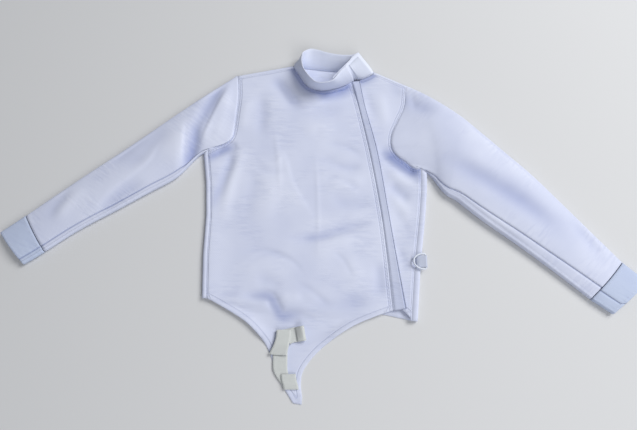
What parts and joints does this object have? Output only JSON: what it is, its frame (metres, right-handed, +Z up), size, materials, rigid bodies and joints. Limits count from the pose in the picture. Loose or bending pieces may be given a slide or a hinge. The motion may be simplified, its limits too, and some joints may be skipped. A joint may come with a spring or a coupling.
{
  "type": "fencing jacket",
  "caption": "White fencing jacket laid flat, front up, with stand collar, flapped side closing, crotch tail with folded elastic strap and a D ring at the side.",
  "frame": {"origin": "on the surface that the jacket lies on, under the middle of its footprint", "axes": "+Z up, +X from the wearer's right cuff to the left cuff, +Y from the hem to the collar"},
  "size_m": [1.4177, 0.8178, 0.0524],
  "materials": {
    "jacket_cloth": "fine matte white twill with a faint sheen",
    "flap_cloth": "the same twill, one ply",
    "woven_elastic": "matte ribbed elastic webbing",
    "hook_and_loop_tape": "matte looped pile",
    "zip_nylon": "matte tape and chain",
    "painted_zip_metal": "satin white paint",
    "moulded_plastic": "satin white plastic"
  },
  "bodies": {
    "jacket": {"back": "jacket_cloth", "front_right": "jacket_cloth", "front_left": "jacket_cloth", "zip_flap": "flap_cloth", "zip": "zip_nylon", "zip_slider": "painted_zip_metal", "sleeve_right": "jacket_cloth", "sleeve_left": "jacket_cloth", "cuff_right": "jacket_cloth", "cuff_left": "jacket_cloth", "collar": "jacket_cloth", "collar_patch": "hook_and_loop_tape", "ring_tab": "jacket_cloth", "crotch_strap": "woven_elastic"},
    "ring": {"ring": "moulded_plastic"}
  },
  "joints": [
    {"name": "ring_swing", "type": "hinge", "parent": "jacket", "child": "ring", "pos_m": [0.23345, -0.11585, 0.0124], "axis": [0, 1, 0], "range_deg": [0, 170]}
  ]
}
